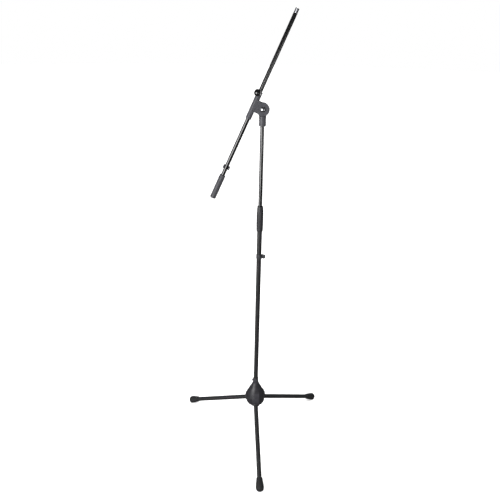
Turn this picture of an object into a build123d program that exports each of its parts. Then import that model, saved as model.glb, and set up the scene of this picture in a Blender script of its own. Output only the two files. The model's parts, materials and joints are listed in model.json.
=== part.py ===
"""Boom microphone stand: folding three-leg base, two-part column with a twist clutch, tilting boom.

Millimetres, +Z up, floor at z = 0. The column stands at x = 0, y = COLUMN_Y, so that the
footprint of the three feet is centred on the origin. The front leg points along -Y and the
boom leans in the XZ plane of the column, its thread towards +X and up.
"""

from build123d import *
import math
import os

os.makedirs("parts", exist_ok=True)

# Tubes
LOWER_R = 11.0
UPPER_R = 8.0
BOOM_R = 8.0
LEG_R = 11.0
TUBE_WALL = 1.2
BOOM_WALL = 1.0
THREAD_R = 7.94  # 5/8 inch microphone thread, major diameter 15.88
FIT = 0.05  # radial play of a running fit

# Base
LEG_REACH = 394.0  # column axis to the middle of a foot
COLUMN_Y = LEG_REACH / 4
FOOT_R = 19.0
FOOT_Z = 18.0
LEG_TOP_Z = 209.0  # height at which a leg's axis would meet the column's axis
HINGE_OUT = 30.0  # column axis to a leg's hinge pin
HUB_BOTTOM = 177.0
HUB_FLOOR_R = 36.0
HUB_TOP_R = 15.2
HUB_TOP = 302.0
COLLAR_TOP = 331.0
COLLAR_R = 13.0
SCREW_Z = 318.0
SCREW_R = 3.0
SCREW_HEAD_R = 5.2
SCREW_HEAD_OUT = 18.8  # column axis to the screw head's face
BOSS_R = 7.0
BOSS_OUT = 15.5
SOCKET_KEY_R = 2.5  # hexagon socket of the collar screw
SOCKET_KEY_DEPTH = 2.2
SLOT_W = 23.4
SLOT_IN = 18.4  # column axis to the inner wall of a leg slot
SLOT_OUT = 70.0
HOUSING_W = 33.0
HOUSING_OUT = 50.0
HUB_BOLT_R = 5.0
HUB_HEX_R = 9.0
HUB_HEX_H = 6.0
HUB_WASHER_R = 12.0
HUB_WASHER_T = 2.0
PIN_R = 3.0
PIN_HALF = 35.0
EYE_R = 9.0
KNUCKLE_W = 22.4
SHOULDER_OUT = 19.5  # hinge pin to the end of the leg tube
SPIGOT = 22.0
FOOT_NECK_R = 14.3
FOOT_NECK_BACK = 41.0  # widest ring of the foot back to its mouth
FOOT_END = 19.5  # widest ring of the foot on to its blunt end

# Column
TUBE_FOOT = 187.0
PLUG_H = 26.0
TUBE_TOP = 1172.0
CLIP_Z = 1021.0
CLIP_H = 18.0
HOOK_OUT = 21.6  # column axis to the middle of the cable hook
HOOK_R = 6.8
HOOK_WALL = 2.3
HOOK_NECK_W = 7.0
CLIP_WALL = 1.8
CLUTCH_Z = 1143.0
CLUTCH_H = 117.0
BUSH_PLAY = 0.1
FERRULE_DOWN = 24.0
FERRULE_UP = 28.0
COLLET_R = 10.9
COLLET_TOP_R = 9.6
COLLET_TOP = 64.0  # above the lower tube's end
COLLET_CONE = 40.0
COLLET_CUT = 1.6
MAST_FOOT = 805.0
GUIDE_DOWN = 16.0
GUIDE_UP = 18.0
GUIDE_BORE = 4.0
SOCKET_Z = 1599.4
SOCKET_R = 14.0
SOCKET_WALL_TOP = 10.0  # solid height above the mast's end
SOCKET_TOP = 1638.0

# Head and boom
PIVOT_Z = 1665.0
DISC_R = 26.0
LUG_R = 25.0
DISC_T = 12.9
WASHER_T = 1.2
BOOM_OFFSET = 37.5  # pivot to the boom's axis
BOOM_RISE = 66.0  # degrees above horizontal
BOOM_TIP = 374.0  # along the boom, from beside the pivot
BOOM_TAIL = -416.0
THREAD_L = 17.0
THREAD_RELIEF = 1.8  # undercut between the boom tube and the thread
RELIEF_R = 7.0
THREAD_CHAMFER = 0.7
TIP_BORE = 5.2
TIP_SPIGOT = 20.0
SLEEVE_R = 11.3
SLEEVE_BORE = 9.5
SLEEVE_LOW = -56.5
SLEEVE_HIGH = 55.5
GRIP_R = 12.2
GRIP_L = 108.0
GRIP_END_WALL = 4.0
GRIP_ROUND = 3.0
BOOM_CLIP_AT = -271.0
BOOM_CLIP_L = 15.0
LOBE_OUT = 11.3
LOBE_R = 3.1
KNOB_AT = 50.0
KNOB_TURN = 21.0  # degrees from -Y towards the boom's upper side
KNOB_R = 13.5
KNOB_OUT = 31.0
BOLT_R = 4.0
DOME_R = 10.5
DOME_RIM = 1.2
DOME_H = 5.2
BOLT_END = -28.5
REAR_WASHER_R = 9.5
REAR_WASHER_T = 1.5
NUT_R = 7.5
NUT_DEEP = 8.5  # lug's back to the nut's far face
NUT_H = 6.5
WING_HUB_R = 10.5
WING_DEEP = 14.5
WING_T = 12.5
WING_OUT = 14.5
WING_LOBE_L = 17.0
WING_LOBE_W = 8.0
SPLIT_W = 2.0
KNOB_NECK_R = 7.0
KNOB_NECK_AT = 16.0
KNOB_SEAT_R = 5.5
KNOB_SEAT_AT = 15.5
WEB_L = 47.0
WEB_STEP = 1.2

leg_slope = math.atan((LEG_TOP_Z - FOOT_Z) / LEG_REACH)
hinge_z = LEG_TOP_Z - HINGE_OUT * math.tan(leg_slope)
leg_length = (LEG_REACH - HINGE_OUT) / math.cos(leg_slope)
leg_names = ("front", "right", "left")
STANDING = (Align.CENTER, Align.CENTER, Align.MIN)

column = Plane(origin=(0, COLUMN_Y, 0))
rise = math.radians(BOOM_RISE)
along = Vector(math.cos(rise), 0, math.sin(rise))
across = Vector(-math.sin(rise), 0, math.cos(rise))
pivot = Vector(0, COLUMN_Y, PIVOT_Z)
# Boom frame: z along the boom towards the thread, x across it away from the pivot.
boom_plane = Plane(origin=pivot + across * BOOM_OFFSET, x_dir=across, z_dir=along)
# Pivot frame: z towards the front (-Y), x along the boom.
pivot_plane = Plane(origin=pivot, x_dir=along, z_dir=(0, -1, 0))
# Upright pivot frame for the socket: z towards the front, x to the right.
upright_plane = Plane(origin=pivot, x_dir=(1, 0, 0), z_dir=(0, -1, 0))
knob_turn = math.radians(KNOB_TURN)
knob_dir = Vector(0, -1, 0) * math.cos(knob_turn) + across * math.sin(knob_turn)
knob_plane = Plane(origin=boom_plane.origin + along * KNOB_AT, x_dir=along, z_dir=knob_dir)


def leg_plane(index):
    """Upright plane through leg number index: x outwards from the column, y up."""
    turn = math.radians(-90 + 120 * index)
    out = Vector(math.cos(turn), math.sin(turn), 0)
    return Plane(origin=(0, COLUMN_Y, 0), x_dir=out, z_dir=out.cross(Vector(0, 0, 1)))


def leg_axis_plane(index):
    """Plane across leg number index at its hinge pin: z down along the leg's axis."""
    turn = math.radians(-90 + 120 * index)
    out = Vector(math.cos(turn), math.sin(turn), 0)
    down = out * math.cos(leg_slope) - Vector(0, 0, 1) * math.sin(leg_slope)
    at = Vector(0, COLUMN_Y, hinge_z) + out * HINGE_OUT
    return Plane(origin=at, x_dir=out.cross(Vector(0, 0, 1)), z_dir=down)


def finish(part, name):
    """Label a finished piece and write it to its own file."""
    part.label = name
    export_step(part, f"parts/{name}.step")


def ring(plane, low, high, outer, inner=0.0):
    """Add a tube or rod standing on plane, from low to high along its normal."""
    with Locations(plane.offset(low)):
        Cylinder(outer, high - low, align=STANDING)
        if inner:
            Cylinder(inner, high - low, align=STANDING, mode=Mode.SUBTRACT)


# ---------------------------------------------------------------- base
roof_lift = LEG_R / math.cos(leg_slope) + 0.4
roof_in = LEG_TOP_Z - SLOT_IN * math.tan(leg_slope) + roof_lift
roof_out = LEG_TOP_Z - SLOT_OUT * math.tan(leg_slope) + roof_lift

with BuildPart() as hub_body:
    with BuildSketch(column * Plane.XZ):
        with BuildLine():
            Polyline((0, HUB_TOP), (0, HUB_BOTTOM), (HUB_FLOOR_R, HUB_BOTTOM))
            Spline(
                (HUB_FLOOR_R, HUB_BOTTOM),
                (46.6, 192),
                (47.2, 212),
                (40.8, 242.5),
                (28.7, 273),
                (HUB_TOP_R, HUB_TOP),
                tangents=((1, 0.35), (-0.4, 1)),
            )
            Line((HUB_TOP_R, HUB_TOP), (0, HUB_TOP))
        make_face()
    revolve(axis=Axis((0, COLUMN_Y, 0), (0, 0, 1)))
    for i in range(3):
        with BuildSketch(leg_plane(i)):
            with BuildLine():
                Polyline(
                    (15, HUB_BOTTOM + 1),
                    (42, HUB_BOTTOM + 1),
                    (HOUSING_OUT, 187),
                    (HOUSING_OUT, 222),
                    (47, 232),
                    (38, 252),
                    (15, 276),
                    close=True,
                )
            make_face()
        extrude(amount=HOUSING_W / 2, both=True)
    for i in range(3):
        with BuildSketch(leg_plane(i)):
            with BuildLine():
                Polyline(
                    (SLOT_IN, HUB_BOTTOM - 10),
                    (SLOT_OUT, HUB_BOTTOM - 10),
                    (SLOT_OUT, roof_out),
                    (SLOT_IN, roof_in),
                    close=True,
                )
            make_face()
        extrude(amount=SLOT_W / 2, both=True, mode=Mode.SUBTRACT)
        with BuildSketch(Plane(leg_axis_plane(i).origin, x_dir=(0, 0, 1), z_dir=leg_plane(i).z_dir)):
            Circle(PIN_R)
        extrude(amount=SLOT_OUT, both=True, mode=Mode.SUBTRACT)
    with BuildSketch(column.offset(TUBE_FOOT)):
        Circle(LOWER_R)
    extrude(amount=200, mode=Mode.SUBTRACT)
    with BuildSketch(column.offset(HUB_BOTTOM)):
        Circle(HUB_BOLT_R + BUSH_PLAY)
    extrude(amount=TUBE_FOOT - HUB_BOTTOM, mode=Mode.SUBTRACT)
finish(hub_body.part, "hub_body")

screw_plane = Plane(origin=(0, COLUMN_Y, SCREW_Z), x_dir=(0, 1, 0), z_dir=(-1, 0, 0))
with BuildPart() as hub_collar:
    ring(column, HUB_TOP, COLLAR_TOP, COLLAR_R)
    chamfer(hub_collar.edges().group_by(Axis.Z)[-1].sort_by(SortBy.RADIUS)[-1], COLLAR_R - LOWER_R - 0.5)
    ring(screw_plane, LOWER_R - 1, BOSS_OUT, BOSS_R)
    with BuildSketch(screw_plane):
        Circle(SCREW_R)
    extrude(amount=BOSS_OUT, mode=Mode.SUBTRACT)
    with BuildSketch(column.offset(HUB_TOP)):
        Circle(LOWER_R)
    extrude(amount=COLLAR_TOP - HUB_TOP, mode=Mode.SUBTRACT)
finish(hub_collar.part, "hub_collar")

with BuildPart() as collar_screw:
    ring(screw_plane, LOWER_R, BOSS_OUT, SCREW_R)
    ring(screw_plane, BOSS_OUT, SCREW_HEAD_OUT, SCREW_HEAD_R)
    chamfer(collar_screw.edges().group_by(Axis.X)[0], 0.8)
    with BuildSketch(screw_plane.offset(SCREW_HEAD_OUT - SOCKET_KEY_DEPTH)):
        RegularPolygon(SOCKET_KEY_R, 6)
    extrude(amount=SOCKET_KEY_DEPTH, mode=Mode.SUBTRACT)
finish(collar_screw.part, "collar_screw")

with BuildPart() as tube_plug:
    ring(column, TUBE_FOOT, TUBE_FOOT + PLUG_H, LOWER_R - TUBE_WALL, HUB_BOLT_R)
finish(tube_plug.part, "tube_plug")

with BuildPart() as hub_washer:
    ring(column, HUB_BOTTOM - HUB_WASHER_T, HUB_BOTTOM, HUB_WASHER_R, HUB_BOLT_R + BUSH_PLAY)
finish(hub_washer.part, "hub_washer")

with BuildPart() as hub_bolt:
    ring(column, HUB_BOTTOM - HUB_WASHER_T, TUBE_FOOT + PLUG_H - 4, HUB_BOLT_R)
    with BuildSketch(column.offset(HUB_BOTTOM - HUB_WASHER_T - HUB_HEX_H)):
        RegularPolygon(HUB_HEX_R, 6)
    extrude(amount=HUB_HEX_H)
finish(hub_bolt.part, "hub_bolt")

with BuildPart() as hinge_pins:
    for i in range(3):
        with BuildSketch(Plane(leg_axis_plane(i).origin, x_dir=(0, 0, 1), z_dir=leg_plane(i).z_dir)):
            Circle(PIN_R)
        extrude(amount=PIN_HALF, both=True)
finish(hinge_pins.part, "hinge_pins")

# ---------------------------------------------------------------- legs
for i, leg_name in enumerate(leg_names):
    across_leg = leg_axis_plane(i)
    side = leg_plane(i).z_dir

    with BuildPart() as knuckle:
        with BuildSketch(Plane(across_leg.origin, x_dir=across_leg.z_dir, z_dir=side)):
            Circle(EYE_R)
            with Locations((SHOULDER_OUT / 2, 0)):
                Rectangle(SHOULDER_OUT, 2 * EYE_R)
        extrude(amount=KNUCKLE_W / 2, both=True)
        with Locations(across_leg):
            Cylinder(LEG_R, SHOULDER_OUT, align=STANDING, mode=Mode.INTERSECT)
        with BuildSketch(Plane(across_leg.origin, x_dir=across_leg.z_dir, z_dir=side)):
            Circle(EYE_R)
        extrude(amount=KNUCKLE_W / 2, both=True)
        ring(across_leg, SHOULDER_OUT, SHOULDER_OUT + SPIGOT, LEG_R - TUBE_WALL)
        with BuildSketch(Plane(across_leg.origin, x_dir=across_leg.z_dir, z_dir=side)):
            Circle(PIN_R + FIT)
        extrude(amount=KNUCKLE_W, both=True, mode=Mode.SUBTRACT)
    finish(knuckle.part, f"leg_knuckle_{leg_name}")

    with BuildPart() as leg_tube:
        ring(across_leg, SHOULDER_OUT, leg_length + 4, LEG_R, LEG_R - TUBE_WALL)
    finish(leg_tube.part, f"leg_tube_{leg_name}")

    with BuildPart() as foot:
        with BuildSketch(Plane(across_leg.origin, x_dir=across_leg.z_dir, z_dir=side)):
            with BuildLine():
                Polyline(
                    (leg_length + FOOT_END, 0),
                    (leg_length + 4, 0),
                    (leg_length + 4, LEG_R),
                    (leg_length - FOOT_NECK_BACK, LEG_R),
                    (leg_length - FOOT_NECK_BACK, FOOT_NECK_R),
                )
                Spline(
                    (leg_length - FOOT_NECK_BACK, FOOT_NECK_R),
                    (leg_length - 14, 17.8),
                    (leg_length, FOOT_R),
                    tangents=((1, 0.16), (1, 0)),
                )
                Spline(
                    (leg_length, FOOT_R),
                    (leg_length + 8, 18.15),
                    (leg_length + 14, 15.1),
                    (leg_length + 18, 9.6),
                    (leg_length + FOOT_END, 0),
                    tangents=((1, 0), (0, -1)),
                )
            make_face()
        revolve(axis=Axis(across_leg.origin, across_leg.z_dir))
        split(bisect_by=Plane.XY, keep=Keep.TOP)
    finish(foot.part, f"leg_foot_{leg_name}")

# ---------------------------------------------------------------- column
with BuildPart() as lower_tube:
    ring(column, TUBE_FOOT, TUBE_TOP, LOWER_R, LOWER_R - TUBE_WALL)
finish(lower_tube.part, "lower_tube")

with BuildPart() as column_clip:
    with BuildSketch(column.offset(CLIP_Z - CLIP_H / 2)):
        Circle(LOWER_R + CLIP_WALL)
        with Locations((HOOK_OUT, 0)):
            Circle(HOOK_R)
        with Locations((LOWER_R + CLIP_WALL + 1.5, 0)):
            Rectangle(5, HOOK_NECK_W)
        Circle(LOWER_R + FIT, mode=Mode.SUBTRACT)
        with Locations((HOOK_OUT, 0)):
            Circle(HOOK_R - HOOK_WALL, mode=Mode.SUBTRACT)
        with Locations((HOOK_OUT + 2.5, HOOK_R)):
            Rectangle(5, HOOK_R, rotation=-25, mode=Mode.SUBTRACT)
        with Locations((-9, 11)):
            Rectangle(12, 9, rotation=40, mode=Mode.SUBTRACT)
    extrude(amount=CLIP_H)
finish(column_clip.part, "column_clip")

with BuildPart() as clutch_ferrule:
    ring(column, TUBE_TOP - FERRULE_DOWN, TUBE_TOP, LOWER_R - TUBE_WALL, UPPER_R + BUSH_PLAY)
    ring(column, TUBE_TOP, TUBE_TOP + FERRULE_UP, LOWER_R, UPPER_R + BUSH_PLAY)
finish(clutch_ferrule.part, "clutch_ferrule")

collet_foot = TUBE_TOP + FERRULE_UP + 0.4
with BuildPart() as clutch_collet:
    with BuildSketch(column * Plane.XZ):
        with BuildLine():
            Polyline(
                (UPPER_R + FIT, collet_foot),
                (COLLET_R, collet_foot),
                (COLLET_R, TUBE_TOP + COLLET_CONE),
                (COLLET_TOP_R, TUBE_TOP + COLLET_TOP),
                (UPPER_R + FIT, TUBE_TOP + COLLET_TOP),
                close=True,
            )
        make_face()
    revolve(axis=Axis((0, COLUMN_Y, 0), (0, 0, 1)))
    for turn in (0, 90):
        with BuildSketch(column.offset(TUBE_TOP + COLLET_CONE)):
            Rectangle(4 * COLLET_R, COLLET_CUT, rotation=turn)
        extrude(amount=COLLET_TOP, mode=Mode.SUBTRACT)
finish(clutch_collet.part, "clutch_collet")

with BuildPart() as clutch_grip:
    with BuildSketch(column * Plane.XZ):
        with BuildLine():
            Polyline((LOWER_R + 0.3, CLUTCH_Z), (12.8, CLUTCH_Z))
            Spline(
                (12.8, CLUTCH_Z),
                (14.4, CLUTCH_Z + 7),
                (14.7, CLUTCH_Z + 40),
                (14.5, CLUTCH_Z + 80),
                (13.6, CLUTCH_Z + 99),
                (12.3, CLUTCH_Z + CLUTCH_H),
                tangents=((1, 1), (-0.06, 1)),
            )
            Polyline(
                (12.3, CLUTCH_Z + CLUTCH_H),
                (UPPER_R + 0.4, CLUTCH_Z + CLUTCH_H),
                (UPPER_R + 0.4, CLUTCH_Z + 100),
                (COLLET_TOP_R + 0.5, TUBE_TOP + COLLET_TOP + 0.3),
                (LOWER_R + 0.3, TUBE_TOP + COLLET_CONE),
                (LOWER_R + 0.3, CLUTCH_Z),
            )
        make_face()
    revolve(axis=Axis((0, COLUMN_Y, 0), (0, 0, 1)))
finish(clutch_grip.part, "clutch_grip")

with BuildPart() as upper_tube:
    ring(column, MAST_FOOT, SOCKET_TOP - SOCKET_WALL_TOP, UPPER_R, UPPER_R - TUBE_WALL)
finish(upper_tube.part, "upper_tube")

with BuildPart() as guide_bush:
    ring(column, MAST_FOOT - GUIDE_DOWN, MAST_FOOT, LOWER_R - TUBE_WALL - FIT, GUIDE_BORE)
    ring(column, MAST_FOOT, MAST_FOOT + GUIDE_UP, UPPER_R - TUBE_WALL, GUIDE_BORE)
finish(guide_bush.part, "guide_bush")

# ---------------------------------------------------------------- head
with BuildPart() as head_socket:
    ring(column, SOCKET_Z, SOCKET_TOP, SOCKET_R)
    chamfer(head_socket.edges().group_by(Axis.Z)[0], 1.8)
    with BuildSketch(upright_plane.offset(-WASHER_T / 2)):
        Circle(LUG_R)
        with BuildLine():
            Polyline(
                (-LUG_R * 0.99, -3),
                (LUG_R * 0.99, -3),
                (SOCKET_R - 1, SOCKET_TOP - PIVOT_Z - 3),
                (1 - SOCKET_R, SOCKET_TOP - PIVOT_Z - 3),
                close=True,
            )
        make_face()
    extrude(amount=-DISC_T + 0.5)
    with BuildSketch(column.offset(SOCKET_Z)):
        Circle(UPPER_R)
    extrude(amount=SOCKET_TOP - SOCKET_WALL_TOP - SOCKET_Z, mode=Mode.SUBTRACT)
    with BuildSketch(upright_plane.offset(-20)):
        Circle(BOLT_R + FIT)
    extrude(amount=40, mode=Mode.SUBTRACT)
finish(head_socket.part, "head_socket")

with BuildPart() as friction_washer:
    ring(pivot_plane, -WASHER_T / 2 + 0.05, WASHER_T / 2, 21, BOLT_R + FIT)
finish(friction_washer.part, "friction_washer")

with BuildPart() as boom_clamp:
    ring(pivot_plane, WASHER_T / 2, WASHER_T / 2 + DISC_T, DISC_R)
    with BuildSketch(pivot_plane.offset(WASHER_T / 2)):
        with Locations((0, BOOM_OFFSET / 2)):
            Rectangle(WEB_L, BOOM_OFFSET)
    extrude(amount=DISC_T - WEB_STEP)
    with BuildSketch(boom_plane.offset(SLEEVE_LOW)):
        Circle(SLEEVE_R)
    extrude(amount=SLEEVE_HIGH - SLEEVE_LOW)
    ring(knob_plane, SLEEVE_BORE / 2, KNOB_SEAT_AT, KNOB_SEAT_R)
    with BuildSketch(boom_plane.offset(SLEEVE_LOW - 1)):
        Circle(SLEEVE_BORE)
    extrude(amount=SLEEVE_HIGH - SLEEVE_LOW + 2, mode=Mode.SUBTRACT)
    with BuildSketch(knob_plane):
        Circle(BOLT_R + FIT)
    extrude(amount=30, mode=Mode.SUBTRACT)
    with BuildSketch(pivot_plane):
        Circle(BOLT_R)
    extrude(amount=30, mode=Mode.SUBTRACT)
finish(boom_clamp.part, "boom_clamp")

dome_face = WASHER_T / 2 + DISC_T
dome_bulge = (DOME_R**2 + DOME_H**2) / (2 * DOME_H)  # radius of the dome's arc
dome_half = math.asin(DOME_R / dome_bulge) / 2
dome_top = dome_face + DOME_RIM + DOME_H
with BuildPart() as pivot_bolt:
    with BuildSketch(pivot_plane * Plane.XZ):
        with BuildLine():
            Polyline(
                (0, dome_top),
                (0, BOLT_END),
                (BOLT_R, BOLT_END),
                (BOLT_R, dome_face),
                (DOME_R, dome_face),
                (DOME_R, dome_face + DOME_RIM),
            )
            ThreePointArc(
                (DOME_R, dome_face + DOME_RIM),
                (
                    dome_bulge * math.sin(dome_half),
                    dome_top - dome_bulge * (1 - math.cos(dome_half)),
                ),
                (0, dome_top),
            )
        make_face()
    revolve(axis=Axis(pivot_plane.origin, pivot_plane.z_dir))
finish(pivot_bolt.part, "pivot_bolt")

lug_back = -WASHER_T / 2 - DISC_T + 0.5
with BuildPart() as back_washer:
    ring(pivot_plane, lug_back - REAR_WASHER_T, lug_back - FIT, REAR_WASHER_R, BOLT_R + FIT)
finish(back_washer.part, "back_washer")

with BuildPart() as tilt_nut:
    with BuildSketch(pivot_plane.offset(lug_back - NUT_DEEP)):
        RegularPolygon(NUT_R, 6)
        Circle(BOLT_R + FIT, mode=Mode.SUBTRACT)
    extrude(amount=NUT_H)
finish(tilt_nut.part, "tilt_nut")

with BuildPart() as tilt_wing:
    with BuildSketch(pivot_plane.offset(lug_back - WING_DEEP)):
        Circle(WING_HUB_R)
        with Locations((WING_OUT, 0), (-WING_OUT, 0)):
            SlotOverall(WING_LOBE_L, WING_LOBE_W)
    extrude(amount=WING_T)
    with BuildSketch(pivot_plane.offset(lug_back - NUT_DEEP)):
        RegularPolygon(NUT_R, 6)
    extrude(amount=10, mode=Mode.SUBTRACT)
    with BuildSketch(pivot_plane.offset(lug_back - 20)):
        Circle(BOLT_R + 0.3)
    extrude(amount=20, mode=Mode.SUBTRACT)
finish(tilt_wing.part, "tilt_wing")

with BuildPart() as boom_bush:
    ring(boom_plane, SLEEVE_LOW + 1, SLEEVE_HIGH - 1, SLEEVE_BORE - FIT, BOOM_R + FIT)
    with BuildSketch(boom_plane.offset(SLEEVE_LOW)):
        with Locations((9, 0)):
            Rectangle(6, SPLIT_W)
    extrude(amount=SLEEVE_HIGH - SLEEVE_LOW, mode=Mode.SUBTRACT)
finish(boom_bush.part, "boom_bush")

with BuildPart() as lock_screw:
    ring(knob_plane, SLEEVE_BORE + 0.1, KNOB_OUT, BOLT_R)
finish(lock_screw.part, "lock_screw")

knob_neck_end = KNOB_OUT - math.sqrt(KNOB_R**2 - KNOB_NECK_R**2)
with BuildPart() as lock_knob:
    with BuildSketch(knob_plane * Plane.XZ):
        with BuildLine():
            Polyline(
                (0, KNOB_OUT + KNOB_R),
                (0, KNOB_NECK_AT),
                (KNOB_NECK_R, KNOB_NECK_AT),
                (KNOB_NECK_R, knob_neck_end),
            )
            ThreePointArc(
                (KNOB_NECK_R, knob_neck_end),
                (KNOB_R, KNOB_OUT),
                (0, KNOB_OUT + KNOB_R),
            )
        make_face()
    revolve(axis=Axis(knob_plane.origin, knob_plane.z_dir))
    with BuildSketch(knob_plane):
        Circle(BOLT_R)
    extrude(amount=KNOB_OUT, mode=Mode.SUBTRACT)
finish(lock_knob.part, "lock_knob")

# ---------------------------------------------------------------- boom
thread_foot = BOOM_TIP - THREAD_L
grip_floor = BOOM_TAIL + GRIP_END_WALL
with BuildPart() as boom_tube:
    ring(boom_plane, grip_floor, thread_foot, BOOM_R, BOOM_R - BOOM_WALL)
finish(boom_tube.part, "boom_tube")

with BuildPart() as thread_tip:
    ring(boom_plane, thread_foot - TIP_SPIGOT, thread_foot, BOOM_R - BOOM_WALL, TIP_BORE)
    ring(boom_plane, thread_foot, thread_foot + THREAD_RELIEF, RELIEF_R, TIP_BORE)
    ring(boom_plane, thread_foot + THREAD_RELIEF, BOOM_TIP, THREAD_R, TIP_BORE)
    chamfer(thread_tip.edges().sort_by(Axis(boom_plane.origin, boom_plane.z_dir))[-1], THREAD_CHAMFER)
finish(thread_tip.part, "thread_tip")

with BuildPart() as boom_grip:
    ring(boom_plane, BOOM_TAIL, BOOM_TAIL + GRIP_L, GRIP_R)
    fillet(boom_grip.edges().filter_by(GeomType.CIRCLE), GRIP_ROUND)
    with BuildSketch(boom_plane.offset(grip_floor)):
        Circle(BOOM_R)
    extrude(amount=GRIP_L, mode=Mode.SUBTRACT)
finish(boom_grip.part, "boom_grip")

with BuildPart() as boom_clip:
    with BuildSketch(boom_plane.offset(BOOM_CLIP_AT - BOOM_CLIP_L / 2)):
        Circle(BOOM_R + 2.2)
        with Locations((LOBE_OUT, 4.5), (-LOBE_OUT, 4.5)):
            Circle(LOBE_R)
        with Locations((0, 2)):
            Rectangle(20, 7)
        Circle(BOOM_R + FIT, mode=Mode.SUBTRACT)
        with Locations((0, 12)):
            Rectangle(13, 16, mode=Mode.SUBTRACT)
    extrude(amount=BOOM_CLIP_L)
finish(boom_clip.part, "boom_clip")
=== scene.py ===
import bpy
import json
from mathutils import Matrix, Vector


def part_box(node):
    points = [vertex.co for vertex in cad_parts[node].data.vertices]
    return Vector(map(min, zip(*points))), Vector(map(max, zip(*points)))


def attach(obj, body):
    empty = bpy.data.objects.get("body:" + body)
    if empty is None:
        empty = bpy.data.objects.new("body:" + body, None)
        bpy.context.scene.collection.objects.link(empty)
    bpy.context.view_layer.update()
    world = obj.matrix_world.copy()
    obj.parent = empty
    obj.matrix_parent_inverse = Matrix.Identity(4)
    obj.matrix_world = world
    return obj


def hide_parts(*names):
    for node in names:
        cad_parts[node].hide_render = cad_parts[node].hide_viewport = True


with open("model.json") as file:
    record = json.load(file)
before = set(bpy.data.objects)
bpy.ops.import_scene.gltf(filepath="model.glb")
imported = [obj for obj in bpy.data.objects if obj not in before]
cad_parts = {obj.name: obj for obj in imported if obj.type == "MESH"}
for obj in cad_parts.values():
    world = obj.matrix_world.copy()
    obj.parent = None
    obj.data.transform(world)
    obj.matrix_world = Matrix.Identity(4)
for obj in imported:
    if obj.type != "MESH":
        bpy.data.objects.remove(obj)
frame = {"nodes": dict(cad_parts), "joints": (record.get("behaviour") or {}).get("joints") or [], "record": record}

"""Looks of the boom microphone stand: turned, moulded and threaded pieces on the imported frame."""

import json
import logging
import math
from collections.abc import Callable, Sequence
from dataclasses import dataclass
from enum import Enum

import bmesh
import bpy
import numpy as np
from mathutils import Vector

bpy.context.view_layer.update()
LOG = logging.getLogger("stand")
MM = 0.001
WELD = 2e-6  # metres: points of a CAD face mesh this close are one point
FLAT_DEGREES = 0.15  # faces of a CAD mesh that lie this close are one flat face
CREASE = math.radians(35)  # faces that meet at a larger angle have an edge between them
BLUNT = 0.8  # power of the superellipse at the end of a foot; 1 is an ellipse
RELIEF_STEP = 0.55  # millimetres between rings where grooves are pressed in
Array = np.ndarray
Relief = Callable[[Array, Array, Array], Array]


# ------------------------------------------------------------------ frame and places
def joint(name: str) -> dict:
    """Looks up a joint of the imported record.

    Args:
        name: the joint's name.

    Returns:
        The joint's entry, with its point and axis in the stand's frame.
    """
    return next(entry for entry in frame["joints"] if entry["name"] == name)


def unit(vector: Sequence[float]) -> Array:
    """Returns the vector as an array of length one."""
    array = np.asarray(vector, float)
    return array / np.linalg.norm(array)


@dataclass(frozen=True)
class Place:
    """A piece's own axes: where its local x, y and z lie in the stand."""

    origin: Array
    x: Array
    y: Array
    z: Array

    @classmethod
    def along(cls, origin: Sequence[float], z: Sequence[float], x: Sequence[float]) -> "Place":
        """Makes a place from a point, its z axis and a direction that x leans to.

        Args:
            origin: the point where the local origin lies.
            z: direction of the local z axis.
            x: rough direction of the local x axis.

        Returns:
            The place, with square axes.
        """
        up = unit(z)
        side = unit(np.asarray(x, float) - up * np.dot(up, x))
        return cls(np.asarray(origin, float), side, np.cross(up, side), up)

    def put(self, local: Array) -> Array:
        """Turns local points into points of the stand.

        Args:
            local: rows of local x, y, z, in millimetres.

        Returns:
            The same points in the stand's axes, in metres.
        """
        points = local * MM
        return (
            self.origin
            + points[..., 0:1] * self.x
            + points[..., 1:2] * self.y
            + points[..., 2:3] * self.z
        )


# ------------------------------------------------------------------ surfaces
def rounded(corners: Sequence[tuple[float, float, float]], closed: bool, steps: int = 5) -> Array:
    """Rounds the corners of an outline.

    Each corner P is replaced by the quadratic curve (1-u)^2 A + 2u(1-u) P + u^2 B, where A and B
    lie on its two sides at the corner's radius, with one more point on each side that holds the
    flat faces flat.

    Args:
        corners: (along, out, radius) of each corner, in millimetres.
        closed: True if the outline returns to its first corner.
        steps: number of spans round each corner.

    Returns:
        Points as rows of (along, out, worn), where worn is 1 on a rounded edge and 0 elsewhere.
    """
    points = np.asarray(corners, float)
    count = len(points)
    rows = []
    u = np.linspace(0, 1, steps + 1)[:, None]
    for index, (along, out, radius) in enumerate(points):
        here = points[index, :2]
        if radius == 0 or (not closed and index in (0, count - 1)):
            rows.append([[along, out, 0]])
            continue
        before = points[index - 1, :2] - here
        after = points[(index + 1) % count, :2] - here
        a = here + before * min(radius / np.linalg.norm(before), 0.45)
        b = here + after * min(radius / np.linalg.norm(after), 0.45)
        curve = (1 - u) ** 2 * a + 2 * u * (1 - u) * here + u**2 * b
        hold_a = a + (a - here) * 0.25
        hold_b = b + (b - here) * 0.25
        worn = np.sin(np.pi * u)
        rows.append([[*hold_a, 0]])
        rows.append(np.hstack([curve, worn]))
        rows.append([[*hold_b, 0]])
    return np.vstack(rows)


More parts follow.
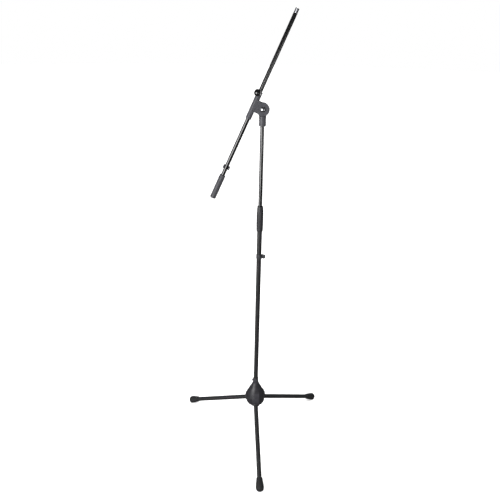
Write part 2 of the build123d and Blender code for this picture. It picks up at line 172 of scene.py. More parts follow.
def build(
    name: str, points: Array, faces: Sequence[Array], worn: Array | None = None
) -> bpy.types.Object:
    """Makes a smooth mesh object from whole arrays of points and faces.

    Args:
        name: the piece's name.
        points: rows of x, y, z in metres.
        faces: arrays of vertex numbers, one row per face.
        worn: one number per point, how exposed the edge there is.

    Returns:
        The linked object, at the origin.
    """
    mesh = bpy.data.meshes.new(name)
    rows = [row for block in faces for row in block.tolist()]
    mesh.from_pydata(points.reshape(-1, 3).tolist(), [], rows)
    mesh.polygons.foreach_set("use_smooth", np.ones(len(mesh.polygons), bool))
    if worn is not None:
        mesh.attributes.new("worn", "FLOAT", "POINT").data.foreach_set("value", worn.ravel())
    mesh.update()
    piece = bpy.data.objects.new(name, mesh)
    bpy.context.scene.collection.objects.link(piece)
    return piece


def quads(rows: int, columns: int, closed_rows: bool) -> Array:
    """Numbers the four-sided faces of a grid whose columns close on themselves.

    Args:
        rows: number of rings.
        columns: number of points in a ring.
        closed_rows: True if the last ring joins the first.

    Returns:
        One row of four vertex numbers per face, facing outwards.
    """
    spans = rows if closed_rows else rows - 1
    i, j = np.meshgrid(np.arange(spans), np.arange(columns), indexing="ij")
    low, high = i * columns, (i + 1) % rows * columns
    right = (j + 1) % columns
    return np.stack([low + j, low + right, high + right, high + j], -1).reshape(-1, 4)


def turned(
    name: str,
    place: Place,
    outline: Array,
    sides: int = 72,
    closed: bool = False,
    relief: Relief | None = None,
) -> bpy.types.Object:
    """Turns an outline round the local z axis.

    A point at (along, out) of the outline and at angle t becomes (out cos t, out sin t, along).
    An open outline starts and ends on the axis, where one point closes it.

    Args:
        name: the piece's name.
        place: the piece's axes.
        outline: rows of (along, out, worn).
        sides: points round the axis.
        closed: True for an outline that closes on itself, as a tube's wall does.
        relief: changes the distance from the axis, given angle, along and out.

    Returns:
        The new object.
    """
    along, angle = np.meshgrid(outline[:, 0], np.arange(sides) * 2 * np.pi / sides, indexing="ij")
    out = np.repeat(outline[:, 1:2], sides, 1)
    worn = np.repeat(outline[:, 2:3], sides, 1)
    if relief:
        out = relief(angle, along, out)
    local = np.stack([out * np.cos(angle), out * np.sin(angle), along], -1)
    if closed:
        return build(name, place.put(local), [quads(len(outline), sides, True)], worn)
    ring = local[1:-1].reshape(-1, 3)
    points = np.vstack([ring, [[0, 0, outline[0, 0]]], [[0, 0, outline[-1, 0]]]])
    inner = np.arange(sides)
    after = (inner + 1) % sides
    last = (len(outline) - 3) * sides
    start = np.stack([after, inner, np.full(sides, len(ring))], -1)
    end = np.stack([last + inner, last + after, np.full(sides, len(ring) + 1)], -1)
    shade = np.append(worn[1:-1].ravel(), [0, 0])
    return build(name, place.put(points), [quads(len(outline) - 2, sides, False), start, end], shade)


def refined(name: str, node: str, edge: float = 0.0) -> bpy.types.Object:
    """Copies a CAD node as a welded piece, smooth on curves, with its edges eased.

    Args:
        name: the new piece's name.
        node: the CAD node to copy.
        edge: width, in millimetres, of the soft edge that replaces each sharp one.

    Returns:
        The new object.
    """
    work = bmesh.new()
    work.from_mesh(frame["nodes"][node].data)
    bmesh.ops.remove_doubles(work, verts=work.verts, dist=WELD)
    if edge:
        flat = math.radians(FLAT_DEGREES)
        bmesh.ops.dissolve_limit(work, angle_limit=flat, verts=work.verts, edges=work.edges)
        sharp = [e for e in work.edges if len(e.link_faces) == 2 and e.calc_face_angle(0) > CREASE]
        layer = work.verts.layers.float.new("worn")
        eased = bmesh.ops.bevel(
            work,
            geom=sharp,
            offset=edge * MM,
            offset_type="OFFSET",
            segments=2,
            profile=0.6,
            affect="EDGES",
            clamp_overlap=True,
            loop_slide=True,
        )
        for vertex in eased["verts"]:
            vertex[layer] = 1.0
        bmesh.ops.remove_doubles(work, verts=work.verts, dist=2.5 * WELD)
    for rim in work.edges:
        rim.smooth = len(rim.link_faces) == 2 and rim.calc_face_angle(0) < CREASE
    for face in work.faces:
        face.smooth = True
    mesh = bpy.data.meshes.new(name)
    work.to_mesh(mesh)
    work.free()
    piece = bpy.data.objects.new(name, mesh)
    bpy.context.scene.collection.objects.link(piece)
    return piece


# ------------------------------------------------------------------ finishes
def linear(code: str) -> tuple[float, float, float, float]:
    """Turns an sRGB hex colour into linear light.

    Args:
        code: six hex digits.

    Returns:
        Red, green, blue and an alpha of one.
    """
    values = np.array([int(code[i : i + 2], 16) for i in (0, 2, 4)]) / 255
    light = np.where(values <= 0.04045, values / 12.92, ((values + 0.055) / 1.055) ** 2.4)
    return (*light.tolist(), 1.0)


def add_node(
    tree: bpy.types.NodeTree, kind: str, settings: dict | None = None, links: dict | None = None
) -> bpy.types.Node:
    """Adds a node with its settings and its incoming links.

    Args:
        tree: the material's node tree.
        kind: the node's type name.
        settings: sockets, by name or number, or attributes, and their values.
        links: sockets, by name or number, and the node and output that feed each.

    Returns:
        The node.
    """
    node = tree.nodes.new(kind)
    for key, value in (settings or {}).items():
        if isinstance(key, int) or key in node.inputs:
            node.inputs[key].default_value = value
        else:
            setattr(node, key, value)
    for key, (source, output) in (links or {}).items():
        tree.links.new(source.outputs[output], node.inputs[key])
    return node


def blank(name: str) -> bpy.types.Material:
    """Makes a material with an empty node tree.

    Args:
        name: the material's name.

    Returns:
        The material.
    """
    material = bpy.data.materials.new(name)
    material.use_nodes = True
    material.node_tree.nodes.clear()
    return material


@dataclass(frozen=True)
class Coated:
    """A painted or moulded surface: a fine skin, broad mottling and edges rubbed lighter."""

    name: str
    colour: str
    edge: str
    roughness: float
    grain_mm: float
    depth_mm: float
    specular: float = 0.5
    coat: float = 0.0
    mottle: float = 0.25
    stretch: float = 1.0

    def make(self) -> bpy.types.Material:
        """Builds the material.

        The skin is noise whose lumps are grain_mm across and depth_mm deep, drawn out by stretch
        along the upright. Noise fourteen times as broad mottles the tone and the roughness, and
        says how far each worn edge is rubbed.

        Returns:
            The material.
        """
        material = blank(self.name)
        tree = material.node_tree
        where = add_node(tree, "ShaderNodeTexCoord")
        drawn = add_node(
            tree,
            "ShaderNodeMapping",
            {"Scale": (1, 1, 1 / self.stretch)},
            {"Vector": (where, "Object")},
        )
        fine = add_node(
            tree,
            "ShaderNodeTexNoise",
            {"Scale": 1000 / self.grain_mm, "Detail": 3.0, "Roughness": 0.55},
            {"Vector": (drawn, "Vector")},
        )
        broad = add_node(
            tree,
            "ShaderNodeTexNoise",
            {"Scale": 1000 / (self.grain_mm * 14), "Detail": 4.0, "Roughness": 0.6},
            {"Vector": (drawn, "Vector")},
        )
        worn = add_node(tree, "ShaderNodeAttribute", {"attribute_name": "worn"})
        cloud = add_node(
            tree,
            "ShaderNodeMapRange",
            {"From Min": 0.35, "From Max": 0.68, "To Min": 0.0, "To Max": self.mottle},
            {"Value": (broad, "Fac")},
        )
        rub = add_node(
            tree,
            "ShaderNodeMath",
            {"operation": "MULTIPLY_ADD"},
            {0: (worn, "Fac"), 1: (broad, "Fac"), 2: (cloud, "Result")},
        )
        tone = add_node(
            tree,
            "ShaderNodeMix",
            {
                "data_type": "RGBA",
                "clamp_factor": True,
                6: linear(self.colour),
                7: linear(self.edge),
            },
            {0: (rub, 0)},
        )
        dull = add_node(
            tree,
            "ShaderNodeMapRange",
            {
                "From Min": 0.3,
                "From Max": 0.7,
                "To Min": self.roughness * 0.88,
                "To Max": self.roughness * 1.15,
            },
            {"Value": (broad, "Fac")},
        )
        skin = add_node(
            tree,
            "ShaderNodeBump",
            {"Distance": self.depth_mm * MM, "Strength": 0.6},
            {"Height": (fine, "Fac")},
        )
        surface = add_node(
            tree,
            "ShaderNodeBsdfPrincipled",
            {"Specular IOR Level": self.specular, "Coat Weight": self.coat, "Coat Roughness": 0.06},
            {"Base Color": (tone, 2), "Roughness": (dull, "Result"), "Normal": (skin, "Normal")},
        )
        add_node(tree, "ShaderNodeOutputMaterial", {}, {"Surface": (surface, "BSDF")})
        return material


@dataclass(frozen=True)
class Plated:
    """A plated metal: polished chrome or dull zinc, with fine handling marks."""

    name: str
    colour: str
    dark: str
    roughness: float
    mark_mm: float

    def make(self) -> bpy.types.Material:
        """Builds the material.

        Marks mark_mm across and six times as tall change the roughness, and a cloud nine times as
        broad changes the tone.

        Returns:
            The material.
        """
        material = blank(self.name)
        tree = material.node_tree
        where = add_node(tree, "ShaderNodeTexCoord")
        drawn = add_node(
            tree, "ShaderNodeMapping", {"Scale": (1, 1, 1 / 6)}, {"Vector": (where, "Object")}
        )
        marks = add_node(
            tree,
            "ShaderNodeTexNoise",
            {"Scale": 1000 / self.mark_mm, "Detail": 5.0},
            {"Vector": (drawn, "Vector")},
        )
        cloud = add_node(
            tree,
            "ShaderNodeTexNoise",
            {"Scale": 1000 / (self.mark_mm * 9), "Detail": 2.0},
            {"Vector": (where, "Object")},
        )
        tone = add_node(
            tree,
            "ShaderNodeMix",
            {"data_type": "RGBA", 6: linear(self.dark), 7: linear(self.colour)},
            {0: (cloud, "Fac")},
        )
        dull = add_node(
            tree,
            "ShaderNodeMapRange",
            {
                "From Min": 0.3,
                "From Max": 0.7,
                "To Min": self.roughness * 0.6,
                "To Max": self.roughness * 1.5,
            },
            {"Value": (marks, "Fac")},
        )
        skin = add_node(
            tree,
            "ShaderNodeBump",
            {"Distance": 0.01 * MM, "Strength": 0.3},
            {"Height": (marks, "Fac")},
        )
        surface = add_node(
            tree,
            "ShaderNodeBsdfPrincipled",
            {"Metallic": 1.0},
            {"Base Color": (tone, 2), "Roughness": (dull, "Result"), "Normal": (skin, "Normal")},
        )
        add_node(tree, "ShaderNodeOutputMaterial", {}, {"Surface": (surface, "BSDF")})
        return material


class Finishes(Enum):
    """Every finish on the stand, by what it is made of and how it was made.

    Moulded grain and rubbing marks are really 0.1 to 0.3 mm wide. They are drawn 0.7 to 2 mm wide,
    because anything finer than that can't show at the size of the whole stand.
    """

    # Polyester powder baked on steel tube: matt black with the faint orange peel of the powder.
    POWDER = Coated("powder_coated_steel", "19191a", "2d2d2f", 0.38, 1.1, 0.02, 0.5, 0.0, 0.3)
    # Stoved gloss enamel on the sliding tubes: deep black, sharp highlights, lengthwise rubbing.
    ENAMEL = Coated(
        "stoved_enamel_steel", "050506", "101011", 0.18, 2.0, 0.002, 0.6, 0.3, 0.3, 30.0
    )
    # Satin moulded ABS of the hub: near-black violet grey with a soft sheen.
    HUB_ABS = Coated("moulded_satin_abs", "1c1b1f", "323136", 0.42, 0.9, 0.03, 0.5, 0.0, 0.3)
    # Glass-filled nylon mouldings of the head: mid grey-black, dull, with a dry fine grain.
    NYLON = Coated("glass_filled_nylon", "2b2b2f", "3f3f44", 0.5, 0.7, 0.04, 0.4)
    # The same nylon, darker, for the twist grip and the cable clips.
    DARK_NYLON = Coated("dyed_black_nylon", "1c1c1f", "2e2e32", 0.44, 0.7, 0.04, 0.4)
    # Unpigmented acetal slide bushes: milky and waxy.
    ACETAL = Coated("moulded_acetal", "c9c7bf", "dedcd4", 0.38, 1.5, 0.01, 0.5)
    # Gloss phenolic of the ball and wing: black and wet-looking.
    PHENOLIC = Coated("moulded_gloss_phenolic", "060607", "161618", 0.09, 2.5, 0.006, 0.6, 0.4)
    # Die-cast zinc knuckles, painted: satin black over a slightly lumpy casting.
    CASTING = Coated("painted_zinc_casting", "1b1b1d", "48484b", 0.4, 1.6, 0.06, 0.5)
    # Vulcanised rubber feet: dead matt with a mould-blasted skin.
    RUBBER = Coated("vulcanised_rubber", "161617", "2a2a2c", 0.72, 0.8, 0.05, 0.35)
    # Dipped soft PVC of the boom's grip: matt dark grey, slightly pebbled.
    PVC = Coated("dipped_soft_pvc", "2f2f33", "414146", 0.52, 0.9, 0.05, 0.35)
    # Bright nickel-chrome plate: mirror-like, with hairline marks.
    CHROME = Plated("bright_chrome_plate", "d4d5d8", "b4b5ba", 0.1, 0.7)
    # Blue-passivated zinc on the small fasteners: pale, cloudy metal.
    ZINC = Plated("passivated_zinc_plate", "b2b6bb", "8b9096", 0.32, 0.9)


MADE: dict[str, bpy.types.Material] = {}


def dressed(finish: Finishes) -> bpy.types.Material:
    """Finds the material of a finish, making it the first time.

    Args:
        finish: the finish.

    Returns:
        Its one shared material.
    """
    if finish.name not in MADE:
        MADE[finish.name] = finish.value.make()
    return MADE[finish.name]


def fit_up(piece: bpy.types.Object, body: str, finish: Finishes, node: str) -> None:
    """Gives a piece its finish and its body, and hides the CAD node that it stands for.

    Args:
        piece: the object.
        body: the body that it moves with.
        finish: what it is made of.
        node: the CAD node that it replaces.
    """
    piece.data.materials.clear()
    piece.data.materials.append(dressed(finish))
    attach(piece, body)
    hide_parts(node)
    LOG.info("%s rides on %s, %d faces", piece.name, body, len(piece.data.polygons))


def fit_copies(body: str, copies: Sequence[tuple[str, str, str, Finishes, float]]) -> None:
    """Fits a refined copy of each CAD node listed.

    Args:
        body: the body that the copies move with.
        copies: (piece, node, slot, finish, edge) of each, with the soft edge in millimetres.
    """
    for name, node, slot, finish, edge in copies:
        fit_up(refined(name, node, edge), body, finish, node)


# ------------------------------------------------------------------ sub-assemblies
COLUMN = Place.along((*joint("mast_swivel")["pos_m"][:2], 0), (0, 0, 1), (1, 0, 0))
BOOM = Place.along(joint("boom_roll")["pos_m"], joint("boom_slide")["axis"], (-1, 0, 0.4))
KNOB = Place.along(joint("lock_knob_turn")["pos_m"], joint("lock_knob_turn")["axis"], BOOM.z)
PIVOT = Place.along(joint("boom_tilt")["pos_m"], (0, -1, 0), BOOM.z)


def tube(
    name: str, place: Place, low: float, high: float, radius: float, wall: float, sides: int = 96
) -> bpy.types.Object:
    """Makes a tube with softened rims: its wall's outline carried round the axis.

    Args:
        name: the piece's name.
        place: axes, with z along the tube.
        low: where it starts along z, in millimetres.
        high: where it ends.
        radius: outer radius.
        wall: wall thickness.
        sides: points round the axis.

    Returns:
        The tube.
    """
    rim = wall * 0.35
    corners = [
        (low, radius, rim),
        (high, radius, rim),
        (high, radius - wall, rim),
        (low, radius - wall, rim),
    ]
    return turned(name, place, rounded(corners, True, 3), sides, True)


@dataclass
class Leg:
    """One folding leg: cast knuckle, coated tube and rubber foot."""

    name: str
    tube_radius: float = 11.0
    wall: float = 1.2
    foot_radius: float = 19.0
    neck_radius: float = 14.3
    neck_back: float = 41.0
    end: float = 19.5
    foot_height: float = 18.0
    reach: float = 364.0
    shoulder: float = 19.5
    socket: float = 4.0
    swell: float = 1.3
    grooves: int = 3
    groove_start: float = 6.0
    groove_pitch: float = 4.2
    groove_width: float = 0.8
    groove_depth: float = 0.55

    @property
    def body(self) -> str:
        """The body that the leg's pieces move with."""
        return f"leg_{self.name}"

    def place(self) -> tuple[Place, float]:
        """Works out the leg's axis from its hinge and its foot.

        Returns:
            The place with z down the leg from the hinge, and the hinge-to-foot length in mm.
        """
        hinge = np.asarray(joint(f"leg_{self.name}_fold")["pos_m"], float)
        floor = next(m for m in frame["record"]["mounts"] if m["name"] == f"floor_{self.name}")
        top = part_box(f"leg_foot_{self.name}")[1].z
        foot = np.array([*floor["pos_m"][:2], top - self.top_of_foot() * MM])
        return Place.along(hinge, foot - hinge, (0, 0, 1)), float(np.linalg.norm(foot - hinge)) / MM

    def top_of_foot(self) -> float:
        """Height of the foot's highest edge above the middle of its ball, in millimetres."""
        slope = math.atan2(joint("leg_front_fold")["pos_m"][2] / MM - self.foot_height, self.reach)
        return self.neck_back * math.sin(slope) + self.neck_radius * math.cos(slope)

    def foot(self, place: Place, length: float) -> bpy.types.Object:
        """Turns the rubber foot, then flattens what would lie below the floor.

        Along the flank the radius grows from the neck's to the foot's as 1 - (1 - t)^swell. The
        end is a superellipse: its point at angle a lies at (end sin(a)^BLUNT, radius
        cos(a)^BLUNT), which is fuller than an ellipse.

        Args:
            place: the leg's axes.
            length: hinge to the middle of the foot's ball.

        Returns:
            The foot.
        """
        back, ball, neck = length - self.neck_back, self.foot_radius, self.neck_radius
        bore, bottom = self.tube_radius + 0.02, length + self.socket
        t = np.linspace(0, 1, 22)[:, None]
        grown = 1 - (1 - t) ** self.swell
        flank = np.hstack([back + 2 + t * (self.neck_back - 2), neck + grown * (ball - neck), 0 * t])
        arc = np.linspace(0, np.pi / 2, 24)[1:, None]
        ahead = length + self.end * np.sin(arc) ** BLUNT
        cap = np.hstack([ahead, ball * np.abs(np.cos(arc)) ** BLUNT, 0 * arc])
        inner = [[bottom, 0, 0], [bottom, bore, 0], [back + 0.6, bore, 0]]
        lip = [[back, self.tube_radius + 0.5, 1], [back, neck - 0.7, 1], [back + 0.7, neck, 1]]
        outline = np.vstack([inner, lip, flank, cap])

        def rings(angle: Array, along: Array, out: Array) -> Array:
            """Presses shallow grooves round the neck: out minus a row of bell-shaped dips.

            Args:
                angle: turn round the leg; not used.
                along: distance down the leg.
                out: distance from its axis.

            Returns:
                The new distance from the axis.
            """
            middles = back + self.groove_start + self.groove_pitch * np.arange(self.grooves)
            dips = sum(np.exp(-(((along - middle) / self.groove_width) ** 2)) for middle in middles)
            return np.where(out > self.tube_radius + 1, out - self.groove_depth * dips, out)

        piece = turned(f"foot_{self.name}", place, self.denser(outline), 72, False, rings)
        points = np.empty(len(piece.data.vertices) * 3)
        piece.data.vertices.foreach_get("co", points)
        points[2::3] = np.maximum(points[2::3], 0.0)
        piece.data.vertices.foreach_set("co", points)
        return piece

    @staticmethod
    def denser(outline: Array) -> Array:
        """Adds points along an outline every RELIEF_STEP, so that fine relief shows.

        Args:
            outline: rows of (along, out, worn).

        Returns:
            The same outline with more rows.
        """
        steps = np.append([0], np.cumsum(np.linalg.norm(np.diff(outline[:, :2], axis=0), axis=1)))
        where = np.unique(np.append(steps, np.arange(0, steps[-1], RELIEF_STEP)))
        return np.stack([np.interp(where, steps, outline[:, k]) for k in range(3)], 1)

    def make(self) -> None:
        """Builds and dresses the leg."""
        place, length = self.place()
        end = length + self.socket - 0.2
        pipe = tube(f"tube_{self.name}", place, self.shoulder, end, self.tube_radius, self.wall, 72)
        fit_up(pipe, self.body, Finishes.POWDER, f"leg_tube_{self.name}")
        foot = self.foot(place, length)
        fit_up(foot, self.body, Finishes.RUBBER, f"leg_foot_{self.name}")
        node = f"leg_knuckle_{self.name}"
        fit_copies(self.body, [(f"knuckle_{self.name}", node, "cast_knuckle", Finishes.CASTING, 0.6)])


@dataclass
class Base:
    """The hub, its collar and fasteners, and the fixed lower tube."""

    tube_radius: float = 11.0
    wall: float = 1.2

    def make(self) -> None:
        """Builds and dresses the base."""
        plated = ("collar_screw", "hub_bolt", "hub_washer", "hinge_pins", "tube_plug")
        fit_copies(
            "base",
            [
                ("hub", "hub_body", "hub_plastic", Finishes.HUB_ABS, 0.8),
                ("collar", "hub_collar", "hub_plastic", Finishes.HUB_ABS, 0.4),
                *((f"{node}_plated", node, "zinc_steel", Finishes.ZINC, 0.0) for node in plated),
            ],
        )
        low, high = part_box("lower_tube")
        pipe = tube("column_lower", COLUMN, low.z / MM, high.z / MM, self.tube_radius, self.wall)
        fit_up(pipe, "base", Finishes.POWDER, "lower_tube")
        ferrule = ("ferrule", "clutch_ferrule", "inner_nylon", Finishes.ACETAL, 0.0)
        fit_copies("base", [ferrule])
        clip = ("cable_clip", "column_clip", "black_nylon", Finishes.DARK_NYLON, 0.5)
        fit_copies("column_clip", [clip])


@dataclass
class Clutch:
    """The twist grip that locks the upper tube."""

    bottom: float = 1143.0
    height: float = 117.0
    ribs: int = 18
    rib_depth: float = 0.55
    flutes_low: float = 0.1
    flutes_high: float = 0.84
    bore_low: float = 11.3
    bore_high: float = 8.4
    cone: tuple[tuple[float, float], ...] = ((100, 8.4), (93.3, 10.1), (69, 11.3))
    heights: tuple[float, ...] = (0, 0.012, 0.05, 0.35, 0.68, 0.85, 0.985, 1)
    radii: tuple[float, ...] = (12.3, 12.9, 14.2, 14.65, 14.45, 13.5, 12.3, 11.8)

    def outline(self) -> Array:
        """Works out the grip's wall: a long soft barrel, narrower towards the top.

        The outside runs through the radii at their heights, as parts of the whole, and each point
        is then averaged with three on either side. The inside is two bores and a cone.

        Returns:
            Rows of (along, out, worn), a closed outline.
        """
        z0, h = self.bottom, self.height
        t = np.linspace(0, 1, 90)
        radius = np.interp(t, self.heights, self.radii)
        soft = np.convolve(np.pad(radius, 3, mode="edge"), np.ones(7) / 7, "valid")
        soft[[0, -1]] = radius[[0, -1]]
        outside = np.stack([z0 + t * h, soft, 0 * t], 1)
        inside = [
            [z0 + h, self.bore_high + 0.5, 1],
            [z0 + h - 0.5, self.bore_high, 0],
            *([z0 + up, out, 0] for up, out in self.cone),
            [z0 + 0.5, self.bore_low, 0],
            [z0, self.bore_low + 0.4, 1],
        ]
        return np.vstack([outside, inside])

    def fluted(self, angle: Array, along: Array, out: Array) -> Array:
        """Cuts soft vertical flutes: out less a cubed raised cosine of the angle.

        They fade in above flutes_low and out below flutes_high, as parts of the grip's height.

        Args:
            angle: turn round the column.
            along: height.
            out: distance from the column's axis.

        Returns:
            The new distance from the axis.
        """
        t = (along - self.bottom) / self.height
        rise = np.clip((t - self.flutes_low) / 0.06, 0, 1)
        fade = rise * np.clip((self.flutes_high - t) / 0.08, 0, 1)
        wave = (0.5 - 0.5 * np.cos(self.ribs * angle)) ** 3
        return np.where(out > self.bore_low + 0.6, out - self.rib_depth * fade * wave, out)

    def make(self) -> None:
        """Builds and dresses the clutch."""
        grip = turned("clutch_sleeve", COLUMN, self.outline(), 216, True, self.fluted)
        fit_up(grip, "clutch", Finishes.DARK_NYLON, "clutch_grip")
        fit_copies("collet", [("collet", "clutch_collet", "inner_nylon", Finishes.ACETAL, 0.0)])


@dataclass
class Mast:
    """The sliding upper tube with its guide bush, and the socket on its top."""

    radius: float = 8.0
    wall: float = 1.2

    def make(self) -> None:
        """Builds and dresses the mast."""
        low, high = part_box("upper_tube")
        pipe = tube("column_upper", COLUMN, low.z / MM, high.z / MM, self.radius, self.wall)
        fit_up(pipe, "mast", Finishes.ENAMEL, "upper_tube")
        fit_copies(
            "mast",
            [
                ("socket", "head_socket", "black_nylon", Finishes.NYLON, 0.8),
                ("guide", "guide_bush", "inner_nylon", Finishes.ACETAL, 0.0),
            ],
        )


@dataclass
class Head:
    """The tilting clamp with its chrome bolt, the wing behind it and the ball knob."""

    dome_radius: float = 10.5
    dome_rim: float = 1.2
    dome_height: float = 5.2
    disc_face: float = 13.5
    bolt_radius: float = 4.0
    bolt_end: float = -28.5
    ball_radius: float = 13.5
    ball_out: float = 31.0
    neck_radius: float = 7.0
    neck_start: float = 16.0

    def bolt(self) -> bpy.types.Object:
        """Turns the pivot bolt: a plain shank and a domed head, an arc over its rim.

        Returns:
            The bolt, along the pivot axis.
        """
        face, rim, tall = self.disc_face, self.dome_rim, self.dome_height
        arc = np.linspace(0, 1, 18)[:, None]
        bulge = (self.dome_radius**2 + tall**2) / (2 * tall)
        half = math.asin(self.dome_radius / bulge)
        out = bulge * np.sin(half * (1 - arc))
        high = face + rim + tall - bulge * (1 - np.cos(half * (1 - arc)))
        dome = np.hstack([high, out, np.where(arc < 0.12, 0.6, 0.0)])
        shank = rounded(
            [
                (self.bolt_end, 0, 0),
                (self.bolt_end, self.bolt_radius, 0.5),
                (face, self.bolt_radius, 0.0),
                (face, self.dome_radius, 0.4),
                (face + rim, self.dome_radius, 0.0),
            ],
            False,
        )
        return turned("bolt", PIVOT, np.vstack([shank[:-1], dome]), 72)

    def ball(self) -> bpy.types.Object:
        """Turns the ball knob: a moulded sphere on a short neck, bored for its stud.

        Returns:
            The knob, along its screw's axis.
        """
        ball, out = self.ball_radius, self.ball_out
        start = math.asin(self.neck_radius / ball)
        swing = np.linspace(np.pi - start, 0, 34)[:, None]
        sphere = np.hstack([out + ball * np.cos(swing), ball * np.sin(swing), 0 * swing])
        bore = [[out, 0, 0], [out, self.bolt_radius, 0], [self.neck_start + 0.4, self.bolt_radius, 0]]
        neck = rounded(
            [
                (self.neck_start, self.bolt_radius + 0.4, 0),
                (self.neck_start, self.neck_radius, 0.6),
                (out - math.sqrt(ball**2 - self.neck_radius**2), self.neck_radius, 0),
            ],
            False,
        )
        return turned("ball_knob", KNOB, np.vstack([bore, neck[:-1], sphere]), 72)

    def make(self) -> None:
        """Builds and dresses the head."""
        fit_copies(
            "head",
            [
                ("clamp", "boom_clamp", "black_nylon", Finishes.NYLON, 0.9),
                ("fibre_washer", "friction_washer", "inner_nylon", Finishes.RUBBER, 0.0),
            ],
        )
        fit_up(self.bolt(), "head", Finishes.CHROME, "pivot_bolt")
        fit_copies(
            "tilt_lock",
            [
                ("wing", "tilt_wing", "knob_plastic", Finishes.PHENOLIC, 1.2),
                ("nut", "tilt_nut", "zinc_steel", Finishes.ZINC, 0.0),
                ("rear_washer", "back_washer", "zinc_steel", Finishes.ZINC, 0.0),
            ],
        )
        fit_up(self.ball(), "boom_lock", Finishes.PHENOLIC, "lock_knob")
        fit_copies("boom_lock", [("stud", "lock_screw", "zinc_steel", Finishes.ZINC, 0.0)])
        fit_copies("bush", [("bush", "boom_bush", "inner_nylon", Finishes.ACETAL, 0.0)])


@dataclass
class Boom:
    """The boom tube with its thread, its grip and its cable clip."""

    radius: float = 8.0
    wall: float = 1.0
    tip: float = 374.0
    tail: float = -416.0
    thread_length: float = 17.0
    thread_radius: float = 7.94
    pitch: float = 25.4 / 27
    thread_depth: float = 0.55
    relief: float = 1.8
    relief_radius: float = 7.0
    bore: float = 5.2
    spigot: float = 20.0
    fade: float = 1.2
    grip_radius: float = 12.2
    grip_length: float = 108.0
    plug: float = 4.0
    groove_in: float = 9.0
    groove_width: float = 0.7
    groove_depth: float = 0.45

    def thread(self) -> bpy.types.Object:
        """Turns the threaded tip: out less a V that climbs one pitch per turn, fading at the ends.

        Returns:
            The tip with its spigot inside the tube.
        """
        start = self.tip - self.thread_length
        foot = start + self.relief
        cut = np.linspace(foot + 0.1, self.tip - 0.7, 150)[:, None]
        outside = np.hstack([cut, np.full_like(cut, self.thread_radius), 0 * cut])
        corners = [
            [start - self.spigot, self.bore, 0],
            [start - self.spigot, self.radius - self.wall, 0],
            [start - 0.1, self.radius - self.wall, 0],
            [start, self.relief_radius, 0],
            [foot - 0.1, self.relief_radius, 0],
            [foot, self.thread_radius - 0.5, 0],
        ]
        mouth = [
            [self.tip - 0.1, self.thread_radius - 0.7, 0],
            [self.tip, self.thread_radius - 0.9, 1],
            [self.tip, self.bore + 0.5, 1],
            [self.tip - 0.5, self.bore, 0],
        ]

        def helix(angle: Array, along: Array, out: Array) -> Array:
            """Cuts the thread: depth times a triangle wave of along / pitch - angle / turn.

            Args:
                angle: turn round the boom.
                along: distance towards the tip.
                out: distance from the boom's axis.

            Returns:
                The new distance from the axis.
            """
            phase = (along / self.pitch - angle / (2 * np.pi)) % 1
            wave = np.abs(2 * phase - 1)
            fade = np.clip((along - foot) / self.fade, 0, 1)
            top = np.clip((along - self.tip + 1.5 * self.fade) / self.fade, 0, 1)
            cut_here = (np.abs(out - self.thread_radius) < 1e-6) & (along > foot)
            depth = self.thread_depth * (wave * fade * (1 - top) + top)
            return np.where(cut_here, out - depth, out)

        outline = np.vstack([corners, outside, mouth])
        return turned("thread", BOOM, outline, 96, True, helix)

    def grip(self) -> bpy.types.Object:
        """Turns the soft grip: a closed tail, rounded ends and a shallow groove near each end.

        Returns:
            The grip.
        """
        low, high, out = self.tail, self.tail + self.grip_length, self.grip_radius
        corners = [
            (low, 0, 0),
            (low, out, 3.2),
            (low + 8, out, 0.1),
            (high - 8, out, 0.1),
            (high, out, 2.6),
            (high, self.radius + 0.05, 0.4),
            (low + self.plug, self.radius + 0.05, 0),
            (low + self.plug, 0, 0),
        ]
        outline = Leg.denser(rounded(corners, False, 7))

        def rings(angle: Array, along: Array, out_now: Array) -> Array:
            """Presses a shallow groove near each end: out minus two bell-shaped dips.

            Args:
                angle: turn round the boom; not used.
                along: distance towards the tip.
                out_now: distance from the boom's axis.

            Returns:
                The new distance from the axis.
            """
            middles = (low + self.groove_in, high - self.groove_in)
            dips = sum(np.exp(-(((along - middle) / self.groove_width) ** 2)) for middle in middles)
            return np.where(out_now > out - 0.5, out_now - self.groove_depth * dips, out_now)

        return turned("grip", BOOM, outline, 72, False, rings)

    def make(self) -> None:
        """Builds and dresses the boom."""
        low, high = self.tail + self.plug, self.tip - self.thread_length
        pipe = tube("boom_pipe", BOOM, low, high, self.radius, self.wall)
        fit_up(pipe, "boom", Finishes.ENAMEL, "boom_tube")
        fit_up(self.thread(), "boom", Finishes.CHROME, "thread_tip")
        fit_up(self.grip(), "boom", Finishes.PVC, "boom_grip")
        clip = ("boom_cable_clip", "boom_clip", "black_nylon", Finishes.DARK_NYLON, 0.5)
        fit_copies("boom_clip", [clip])


# ------------------------------------------------------------------ studio
@dataclass(frozen=True)
class SoftBox:
    """An upright soft box that faces the column.

    It stands turn degrees round the column, from the front towards the right, and reach metres
    out. Its edges lie at the heights low and high, it is width metres wide, and glow is its
    radiance.
    """

    name: str
    turn: float
    reach: float
    low: float
    high: float
    width: float
    glow: float

    def make(self) -> None:
        """Adds the light, which the camera can't see."""
        data = bpy.data.lights.new(self.name, "AREA")
        data.shape = "RECTANGLE"
        data.size, data.size_y = self.width, self.high - self.low
        data.energy = self.glow * math.pi * self.width * (self.high - self.low)
        light = bpy.data.objects.new(self.name, data)
        angle = math.radians(self.turn)
        aim = Vector((*COLUMN.origin[:2], (self.low + self.high) / 2))
        light.location = aim + Vector((math.sin(angle), -math.cos(angle), 0)) * self.reach
        light.rotation_euler = (aim - light.location).to_track_quat("-Z", "Y").to_euler()
        light.visible_camera = False
        bpy.context.scene.collection.objects.link(light)


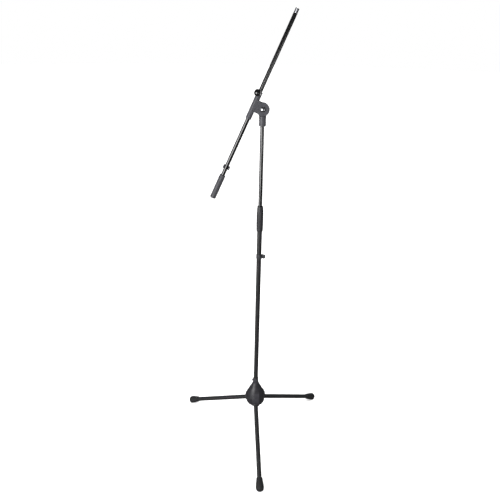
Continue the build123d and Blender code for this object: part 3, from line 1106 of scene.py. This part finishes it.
@dataclass
class Studio:
    """Camera, floor and soft lights."""

    sensor: float = 36.0
    picture: float = 500.0
    focal: float = 475.69
    pitch: float = 0.43639
    roll: float = -0.01715
    heading: float = -0.06038
    position: tuple[float, float, float] = (-0.1576, -1.8303, 1.9538)
    room: float = 28.0
    room_glow: float = 0.09
    sky_power: float = 3.25
    sky_spread: float = 70.0
    boxes: tuple[SoftBox, ...] = (
        SoftBox("key_box", turn=-46, reach=2.6, low=0.35, high=2.35, width=1.9, glow=9.0),
        SoftBox("side_box", turn=34, reach=2.4, low=0.9, high=1.4, width=0.8, glow=5.0),
        SoftBox("rear_box", turn=160, reach=2.8, low=0.6, high=2.2, width=1.6, glow=3.0),
    )

    def camera(self) -> None:
        """Places the camera from its heading, pitch and roll."""
        data = bpy.data.cameras.new("camera")
        data.sensor_width = self.sensor
        data.lens = self.focal * self.sensor / self.picture
        data.clip_start, data.clip_end = 0.05, 60
        camera = bpy.data.objects.new("camera", data)
        level = Vector((-math.sin(self.heading), math.cos(self.heading), 0))
        forward = level * math.cos(self.pitch) - Vector((0, 0, 1)) * math.sin(self.pitch)
        right = Vector((math.cos(self.heading), math.sin(self.heading), 0))
        up = right.cross(forward)
        c, s = math.cos(self.roll), math.sin(self.roll)
        side = right * c - up * s
        top = right * s + up * c
        matrix = camera.matrix_world.to_3x3()
        matrix.col[0], matrix.col[1], matrix.col[2] = side, top, -forward
        camera.matrix_world = matrix.to_4x4()
        camera.location = self.position
        bpy.context.scene.collection.objects.link(camera)
        bpy.context.scene.camera = camera

    def sky(self) -> None:
        """Adds a broad soft light from above, which whitens the floor."""
        data = bpy.data.lights.new("sky", "SUN")
        data.energy = self.sky_power
        data.angle = math.radians(self.sky_spread)
        light = bpy.data.objects.new("sky", data)
        light.visible_glossy = False
        bpy.context.scene.collection.objects.link(light)

    def floor(self) -> None:
        """Lays a wide pale floor and hangs a plain white dome of cloth round it.

        The dome's point at turn a and rise b is R (cos a cos b, sin a cos b, sin b).
        """
        size = self.room
        grid = np.array([[-size, -size, 0], [size, -size, 0], [size, size, 0], [-size, size, 0]])
        floor = build("floor", grid, [np.array([[0, 1, 2, 3]])])
        pale = blank("matt_pale_floor_paint")
        matt = add_node(
            pale.node_tree,
            "ShaderNodeBsdfPrincipled",
            {
                "Base Color": linear("f6f6f6"),
                "Roughness": 0.9,
                "Specular IOR Level": 0.0,
                "Emission Color": linear("ffffff"),
                "Emission Strength": 0.35,
            },
        )
        add_node(pale.node_tree, "ShaderNodeOutputMaterial", {}, {"Surface": (matt, "BSDF")})
        turn, rise = np.meshgrid(np.arange(64) * np.pi / 32, np.linspace(-0.02, 1.5, 18))
        level = np.cos(rise)
        dome = size * np.stack([np.cos(turn) * level, np.sin(turn) * level, np.sin(rise)], -1)
        cloth = build("backdrop", dome, [quads(18, 64, False)[:, ::-1]])
        white = blank("white_backdrop_cloth")
        glow = add_node(
            white.node_tree, "ShaderNodeEmission", {"Color": linear("ffffff"), "Strength": 1.0}
        )
        add_node(white.node_tree, "ShaderNodeOutputMaterial", {}, {"Surface": (glow, "Emission")})
        for piece, finish in ((floor, pale), (cloth, white)):
            piece.data.materials.append(finish)
            piece.visible_glossy = False
        cloth.visible_diffuse = cloth.visible_shadow = cloth.visible_transmission = False

    def make(self) -> None:
        """Sets up the camera, the floor, the dim room and the lights."""
        self.camera()
        self.floor()
        world = bpy.data.worlds.new("studio")
        bpy.context.scene.world = world
        world.use_nodes = True
        world.node_tree.nodes["Background"].inputs[0].default_value = linear("ffffff")
        world.node_tree.nodes["Background"].inputs[1].default_value = self.room_glow
        bpy.context.scene.view_settings.view_transform = "Standard"
        self.sky()
        for box in self.boxes:
            box.make()


def main() -> None:
    """Builds the sub-assemblies in order."""
    logging.basicConfig(level=logging.INFO, format="%(name)s: %(message)s")
    Studio().make()
    Base().make()
    for name in ("front", "right", "left"):
        Leg(name).make()
    Clutch().make()
    Mast().make()
    Head().make()
    Boom().make()


if __name__ == "__main__":
    main()
